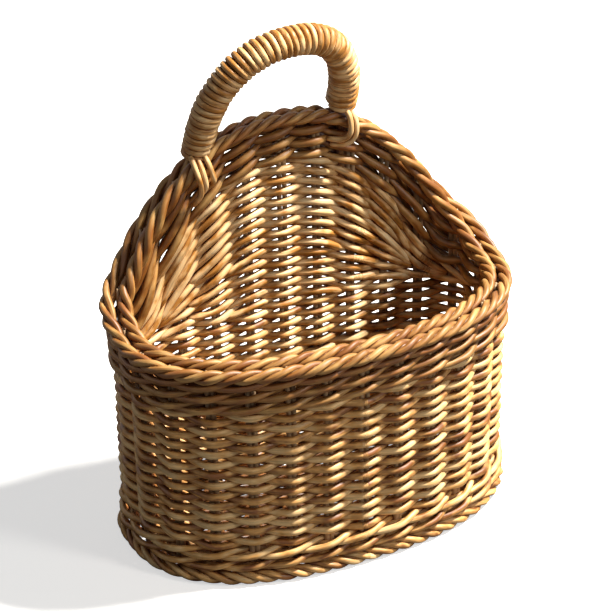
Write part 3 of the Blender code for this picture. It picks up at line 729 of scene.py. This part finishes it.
def cane_material(name, light, mid, dark, on_canes=True):
    """Split rattan core, smoked and lightly varnished: a satin skin over long fibres, with brown stains, and
    painted shade in the crevices between canes.
    """
    material, tree = new_material(name)
    if on_canes:
        place = add_node(tree, "ShaderNodeAttribute", attribute_name="cane_place").outputs["Vector"]
        tone = add_node(tree, "ShaderNodeAttribute", attribute_name="cane_tone").outputs["Fac"]
    else:
        place = add_node(tree, "ShaderNodeTexCoord").outputs["Object"]
        noise = add_node(tree, "ShaderNodeTexNoise", {"Vector": place}, in_Scale=PIECE_TONE_SCALE)
        tone = noise.outputs["Fac"]
    fibre = stretched_noise(tree, place, FIBRE_SCALE, 3.0)
    stain = stretched_noise(tree, place, STAIN_SCALE, 2.0)
    share = spread(tree, tone, (0, 1), (-TONE_SHARE / 2, TONE_SHARE / 2))
    mix = add_node(tree, "ShaderNodeMath", {0: stain, 1: share}, operation="ADD")
    ramp = add_node(tree, "ShaderNodeValToRGB", {"Fac": mix.outputs[0]})
    stops = ramp.color_ramp.elements
    stops[0].position = STAIN_STOPS[0]
    stops[0].color = dark
    stops[1].position = STAIN_STOPS[2]
    stops[1].color = light
    stops.new(STAIN_STOPS[1]).color = mid
    shade = spread(tree, fibre, FIBRE_SEEN, FIBRE_SHADES)
    tint = add_node(tree, "ShaderNodeMix", {6: ramp.outputs["Color"], 7: shade}, data_type="RGBA",
                    blend_type="MULTIPLY", in_Factor=1.0)
    # Painted shade: ambient occlusion darkens the colour towards a deep brown where canes touch.
    open_share = add_node(tree, "ShaderNodeAmbientOcclusion", samples=6, in_Distance=PAINTED_SHADE_REACH)
    crevice = spread(tree, open_share.outputs["AO"], PAINTED_SHADE_SEEN, (0, 1))
    shade_in_crevices = add_node(tree, "ShaderNodeMix", {0: crevice}, data_type="RGBA")
    shade_in_crevices.inputs[6].default_value = srgb(PAINTED_SHADE_TINT)
    shade_in_crevices.inputs[7].default_value = srgb(NO_TINT)
    tint_with_painted_shade = add_node(tree, "ShaderNodeMix", {6: tint.outputs[2], 7: shade_in_crevices.outputs[2]}, data_type="RGBA",
                    blend_type="MULTIPLY", in_Factor=1.0)
    grain = add_node(tree, "ShaderNodeBump", {"Height": fibre}, in_Strength=GRAIN_STRENGTH,
                     in_Distance=GRAIN_DEPTH)
    finish = {"Base Color": tint_with_painted_shade.outputs[2], "Roughness": spread(tree, stain, (0, 1), ROUGHNESS),
              "Normal": grain.outputs[0]}
    skin = add_node(tree, "ShaderNodeBsdfPrincipled", finish, in_IOR=VARNISH_IOR)
    add_node(tree, "ShaderNodeOutputMaterial", {"Surface": skin.outputs[0]})
    return material


# Light, usual and dark colour of each material, and whether it is on pieces made of strands.
CANE_KINDS = {
    "weaver_cane": ("cane_light", "cane_mid", "cane_dark", True),
    "border_cane": ("rim_light", "rim_mid", "cane_dark", True),
    "stake_cane": ("cane_mid", "stake_tint", "cane_dark", True),
    "pale_cane": ("pale_light", "pale_mid", "pale_dark", True),
    "base_cane": ("stake_tint", "base_painted_shade_mid", "base_painted_shade_dark", True),
    "core_cane": ("cane_mid", "stake_tint", "cane_dark", False),
}


def materials(scene):
    """The basket's materials, made once."""
    made = {}
    for name, (*tints, on_canes) in CANE_KINDS.items():
        light, mid, dark = (tuple(getattr(scene.basket_colours, tint)) for tint in tints)
        made[name] = bpy.data.materials.get(name) or cane_material(name, light, mid, dark, on_canes)
    return made


# Operators.
class BasketOperator(bpy.types.Operator):
    """Common settings of the basket's operators"""
    bl_options = {"REGISTER", "UNDO"}

    def execute(self, context):
        self.make(context, Wall(context.scene.basket_sizes), materials(context.scene))
        return {"FINISHED"}


class BASKET_OT_wall_weave(BasketOperator):
    """Weave the level part of the wall and the high back"""
    bl_idname = "basket.wall_weave"
    bl_label = "Wall weave"

    def make(self, context, wall, cane):
        sizes = wall.sizes
        rng = np.random.default_rng(11)
        bottom = float(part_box("wall_weave_level")[0].z)
        top = float(wall.wale_bottom(0.0))
        rows = int(round((top - bottom) / sizes.row_pitch))
        strands = plain_rows(wall, rows, bottom, (top - bottom) / rows, rng)
        mesh = cane_mesh("wall_weave_level", strands, sizes.weaver)
        finish_piece("level_rows", mesh, cane["weaver_cane"], ["wall_weave_level"])
        # The high back's rows take the pale cane as painted light: paler than the level rows, for the light
        # on the inside of the back.
        mesh = cane_mesh("wall_weave_back", back_rows(wall, rng), sizes.weaver * BACK_FULLNESS)
        finish_piece("back_rows", mesh, cane["pale_cane"], ["wall_weave_back"])


class BASKET_OT_wales(BasketOperator):
    """Weave the wale of the foot and of the rim"""
    bl_idname = "basket.wales"
    bl_label = "Wales"

    def make(self, context, wall, cane):
        sizes = wall.sizes
        rng = np.random.default_rng(12)
        bottom = float(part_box("foot_wale")[0].z)
        foot = wale_rows(wall, FOOT_WALE_ROWS, sizes.foot_wale_pitch, bottom, rng)
        finish_piece("foot_wale_rows", cane_mesh("foot_wale", foot, sizes.weaver), cane["weaver_cane"],
                     ["foot_wale"])
        rim = wale_rows(wall, WALE_ROWS, sizes.rim_wale_pitch, None, rng)
        finish_piece("rim_wale_rows", cane_mesh("rim_wale", rim, sizes.weaver), cane["border_cane"],
                     ["rim_wale"])


class BASKET_OT_borders(BasketOperator):
    """Roll the border of the rim and twist the border of the foot"""
    bl_idname = "basket.borders"
    bl_label = "Borders"

    def make(self, context, wall, cane):
        sizes = wall.sizes
        rng = np.random.default_rng(13)
        plans = (
            ("rim_border_inner", INNER_ROPE, None, "border_cane"),
            ("rim_border_outer", OUTER_ROPE, None, "border_cane"),
            ("foot_border", FOOT_ROPE, 0.0, "weaver_cane"),
        )
        for name, rope, edge, material in plans:
            mesh = cane_mesh(name, rope_strands(wall, rope, edge, rng), sizes.weaver, FINE_SIDES)
            finish_piece(name + "_cane", mesh, cane[material], [name])


class BASKET_OT_stakes(BasketOperator):
    """Stand the stakes and lay the floor"""
    bl_idname = "basket.stakes"
    bl_label = "Stakes and floor"

    def make(self, context, wall, cane):
        sizes = wall.sizes
        rng = np.random.default_rng(14)
        nodes = ["stake_pair_%02d" % (stake + 1) for stake in range(sizes.stakes)]
        finish_piece("stake_canes", cane_mesh("stakes", stake_strands(wall, rng), sizes.stake_cane),
                     cane["stake_cane"], nodes)
        # The floor's canes take dark colours as painted shade, for the shade inside the basket.
        finish_piece("floor_canes", cane_mesh("floor", floor_strands(wall), FLOOR_CANE), cane["base_cane"],
                     ["woven_floor"])


class BASKET_OT_bow(BasketOperator):
    """Wrap the bow and lash its feet"""
    bl_idname = "basket.bow"
    bl_label = "Bow"

    def make(self, context, wall, cane):
        sizes = wall.sizes
        rng = np.random.default_rng(15)
        wrap = cane_mesh("bow_wrap", wrap_strand(wall, rng), sizes.weaver, FINE_SIDES)
        finish_piece("bow_wrap", wrap, cane["pale_cane"], ["handle_winding"])
        left, right = Bow(wall).leg_shares
        for name, share, routes in (("right", right, RIGHT_LASHING), ("left", left, LEFT_LASHING)):
            mesh = cane_mesh("lashing", lashing_strands(wall, share, routes), sizes.stake_cane, FINE_SIDES)
            node = "handle_lashing_" + name
            finish_piece("lashing_" + name, mesh, cane["pale_cane"], [node])
        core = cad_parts["handle_core"]
        core.data.materials.clear()
        core.data.materials.append(cane["core_cane"])


# The camera looks from the front left, a little from above.
CAMERA_AZIMUTH = math.radians(-24.658)
CAMERA_ELEVATION = math.radians(30.3)
CAMERA_ROLL = math.radians(-0.8375)
CAMERA_DISTANCE = 0.9863
CAMERA_TARGET_HEIGHT = 0.10785
CAMERA_LENS = 122.72
CAMERA_SHIFT = -0.00616
CAMERA_SENSOR = 36
CAMERA_CLIP = (0.05, 50)
# Lamps: azimuth, elevation, distance, size, power and tint. A key from the right, and a small fill in front.
LAMPS = {
    "key": (75, 55, 1.5, 0.14, 68.0, (1.0, 0.96, 0.90)),
    "fill": (40, 30, 1.6, 0.3, 7.0, (1.0, 0.96, 0.90)),
}
LAMP_AIM_HEIGHT = 0.12
# Strength of the white world as light on the object, and as the background that is seen.
WORLD_LIGHT = 0.08
WORLD_SHOWN = 1.0
# The studio floor: half its width, how much light it gives back, and its glow where the camera sees it.
FLOOR_HALF = 6
FLOOR_BOUNCE = 0.15
FLOOR_GLOW = 0.6


def direction(azimuth, elevation):
    """The way from the object to a camera or lamp; azimuth 0 is in front, and +X lies at 90 degrees."""
    level = math.cos(elevation)
    return Vector((math.sin(azimuth) * level, -math.cos(azimuth) * level, math.sin(elevation)))


class BASKET_OT_studio(BasketOperator):
    """Set up the floor, the lights and the camera"""
    bl_idname = "basket.studio"
    bl_label = "Studio"

    def make(self, context, wall, cane):
        scene = context.scene
        self.floor(scene)
        self.camera(scene, wall)
        self.lights(scene)
        self.world(scene)
        scene.view_settings.view_transform = "Standard"

    def floor(self, scene):
        """Matt white paper: it takes the shadow, and the camera sees it a little brighter."""
        shell = bmesh.new()
        bmesh.ops.create_grid(shell, x_segments=1, y_segments=1, size=FLOOR_HALF)
        mesh = bpy.data.meshes.new("studio_floor")
        shell.to_mesh(mesh)
        shell.free()
        floor = bpy.data.objects.new("studio_floor", mesh)
        scene.collection.objects.link(floor)
        material, tree = new_material("studio_paper")
        seen = add_node(tree, "ShaderNodeLightPath").outputs["Is Camera Ray"]
        shown = add_node(tree, "ShaderNodeMix", {0: seen}, data_type="RGBA")
        shown.inputs[6].default_value = (FLOOR_BOUNCE, FLOOR_BOUNCE, FLOOR_BOUNCE, 1)
        shown.inputs[7].default_value = tuple(scene.basket_colours.floor)
        paper = add_node(tree, "ShaderNodeBsdfDiffuse", {"Color": shown.outputs[2]})
        glow = spread(tree, seen, (0, 1), (0, FLOOR_GLOW))
        light = add_node(tree, "ShaderNodeEmission", {"Strength": glow})
        both = add_node(tree, "ShaderNodeAddShader", {0: paper.outputs[0], 1: light.outputs[0]})
        add_node(tree, "ShaderNodeOutputMaterial", {"Surface": both.outputs[0]})
        mesh.materials.append(material)

    def camera(self, scene, wall):
        """The camera, turned a little about its own axis."""
        data = bpy.data.cameras.new("studio_camera")
        camera = bpy.data.objects.new("studio_camera", data)
        scene.collection.objects.link(camera)
        data.sensor_width = CAMERA_SENSOR
        data.lens = CAMERA_LENS
        data.shift_x = CAMERA_SHIFT
        data.clip_start, data.clip_end = CAMERA_CLIP
        back = direction(CAMERA_AZIMUTH, CAMERA_ELEVATION)
        right = Vector((math.cos(CAMERA_AZIMUTH), math.sin(CAMERA_AZIMUTH), 0))
        up = back.cross(right)
        tilted_right = right * math.cos(CAMERA_ROLL) + up * math.sin(CAMERA_ROLL)
        tilted_up = up * math.cos(CAMERA_ROLL) - right * math.sin(CAMERA_ROLL)
        turn = Matrix((tilted_right, tilted_up, back)).transposed()
        target = Vector((0, wall.shift, CAMERA_TARGET_HEIGHT))
        camera.matrix_world = Matrix.Translation(target + back * CAMERA_DISTANCE) @ turn.to_4x4()
        scene.camera = camera

    def lights(self, scene):
        """Round lamps that face the basket."""
        for name, (azimuth, elevation, distance, size, power, tint) in LAMPS.items():
            data = bpy.data.lights.new(name, "AREA")
            data.shape = "DISK"
            data.size = size
            data.energy = power
            data.color = tint
            lamp = bpy.data.objects.new(name, data)
            scene.collection.objects.link(lamp)
            out = direction(math.radians(azimuth), math.radians(elevation))
            lamp.location = Vector((0, 0, LAMP_AIM_HEIGHT)) + out * distance
            lamp.rotation_euler = out.to_track_quat("Z", "Y").to_euler()

    def world(self, scene):
        """A white background that gives little light of its own."""
        world = bpy.data.worlds.new("studio_world")
        world.use_nodes = True
        tree = world.node_tree
        tree.nodes.clear()
        path = add_node(tree, "ShaderNodeLightPath").outputs
        straight = {0: path["Is Camera Ray"], 1: path["Is Transmission Ray"]}
        plain = add_node(tree, "ShaderNodeMath", straight, operation="MAXIMUM")
        mirrored = {0: plain.outputs[0], 1: path["Is Glossy Ray"]}
        seen = add_node(tree, "ShaderNodeMath", mirrored, operation="MAXIMUM")
        strength = spread(tree, seen.outputs[0], (0, 1), (WORLD_LIGHT, WORLD_SHOWN))
        sky = add_node(tree, "ShaderNodeBackground", {"Strength": strength}, in_Color=(1, 1, 1, 1))
        add_node(tree, "ShaderNodeOutputWorld", {"Surface": sky.outputs[0]})
        scene.world = world


OPERATORS = (BASKET_OT_wall_weave, BASKET_OT_wales, BASKET_OT_borders, BASKET_OT_stakes, BASKET_OT_bow,
             BASKET_OT_studio)


class BASKET_PT_panel(bpy.types.Panel):
    """Sizes, colours and steps of the basket"""
    bl_idname = "BASKET_PT_panel"
    bl_label = "Wall basket"
    bl_space_type = "VIEW_3D"
    bl_region_type = "UI"
    bl_category = "Basket"

    def draw(self, context):
        for group in (context.scene.basket_sizes, context.scene.basket_colours):
            box = self.layout.box()
            for name in group.__annotations__:
                box.prop(group, name)
        for operator in OPERATORS:
            self.layout.operator(operator.bl_idname)


CLASSES = (BasketSizes, BasketColours, *OPERATORS, BASKET_PT_panel)


def register():
    for cls in CLASSES:
        bpy.utils.register_class(cls)
    bpy.types.Scene.basket_sizes = PointerProperty(type=BasketSizes)
    bpy.types.Scene.basket_colours = PointerProperty(type=BasketColours)


def unregister():
    del bpy.types.Scene.basket_colours
    del bpy.types.Scene.basket_sizes
    for cls in reversed(CLASSES):
        bpy.utils.unregister_class(cls)


def main():
    """Make the basket and its studio."""
    register()
    bpy.ops.basket.wall_weave()
    bpy.ops.basket.wales()
    bpy.ops.basket.borders()
    bpy.ops.basket.stakes()
    bpy.ops.basket.bow()
    bpy.ops.basket.studio()


if __name__ == "__main__":
    main()
